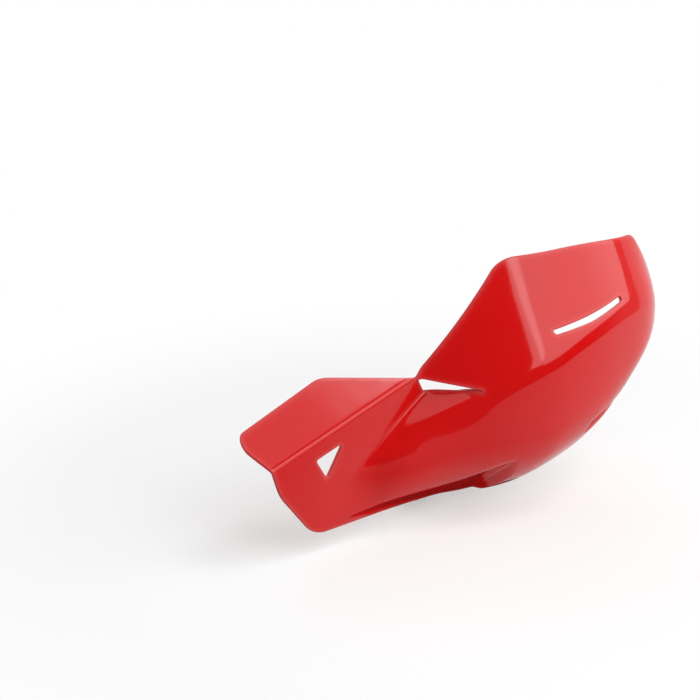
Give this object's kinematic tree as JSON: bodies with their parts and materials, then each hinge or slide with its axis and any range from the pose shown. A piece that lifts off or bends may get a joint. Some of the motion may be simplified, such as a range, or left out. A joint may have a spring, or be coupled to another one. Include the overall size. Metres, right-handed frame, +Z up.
{
  "type": "motorcycle hand guard",
  "caption": "Moulded plastic hand guard with a side wing and vent slots, carried on an adjustable knuckle mount that clamps round a motorcycle handlebar.",
  "frame": {"origin": "centre of the handlebar bore, half way along the clamp", "axes": "+X outboard along the handlebar, on the rider's left; +Y back towards the rider; +Z up"},
  "size_m": [0.3511, 0.166, 0.1986],
  "materials": {
    "red_plastic": "gloss",
    "black_plastic": "satin",
    "steel": "zinc plated",
    "bright_nut": "polished",
    "brass": "turned"
  },
  "bodies": {
    "bar_mount": {"clamp_body": "black_plastic", "clamp_cap": "black_plastic", "clamp_screws": "steel", "clamp_washers": "steel", "clamp_inserts": "brass"},
    "link": {"knuckle_link": "black_plastic", "pitch_screw": "steel", "pitch_washer": "steel", "pitch_insert": "brass", "roll_screw": "steel", "roll_washer": "steel", "roll_insert": "brass"},
    "guard": {"guard_shell": "red_plastic", "guard_bracket": "black_plastic", "tab_bolt": "steel", "tab_washer": "steel", "acorn_nut": "bright_nut"}
  },
  "joints": [
    {"name": "guard_pitch", "type": "hinge", "parent": "bar_mount", "child": "link", "pos_m": [-0.0133, -0.04483, 0.03186], "axis": [1, 0, 0], "range_deg": [-30, 30]},
    {"name": "guard_roll", "type": "hinge", "parent": "link", "child": "guard", "pos_m": [-0.0243, -0.03783, 0.00686], "axis": [0, 1, 0], "range_deg": [-30, 30]}
  ]
}
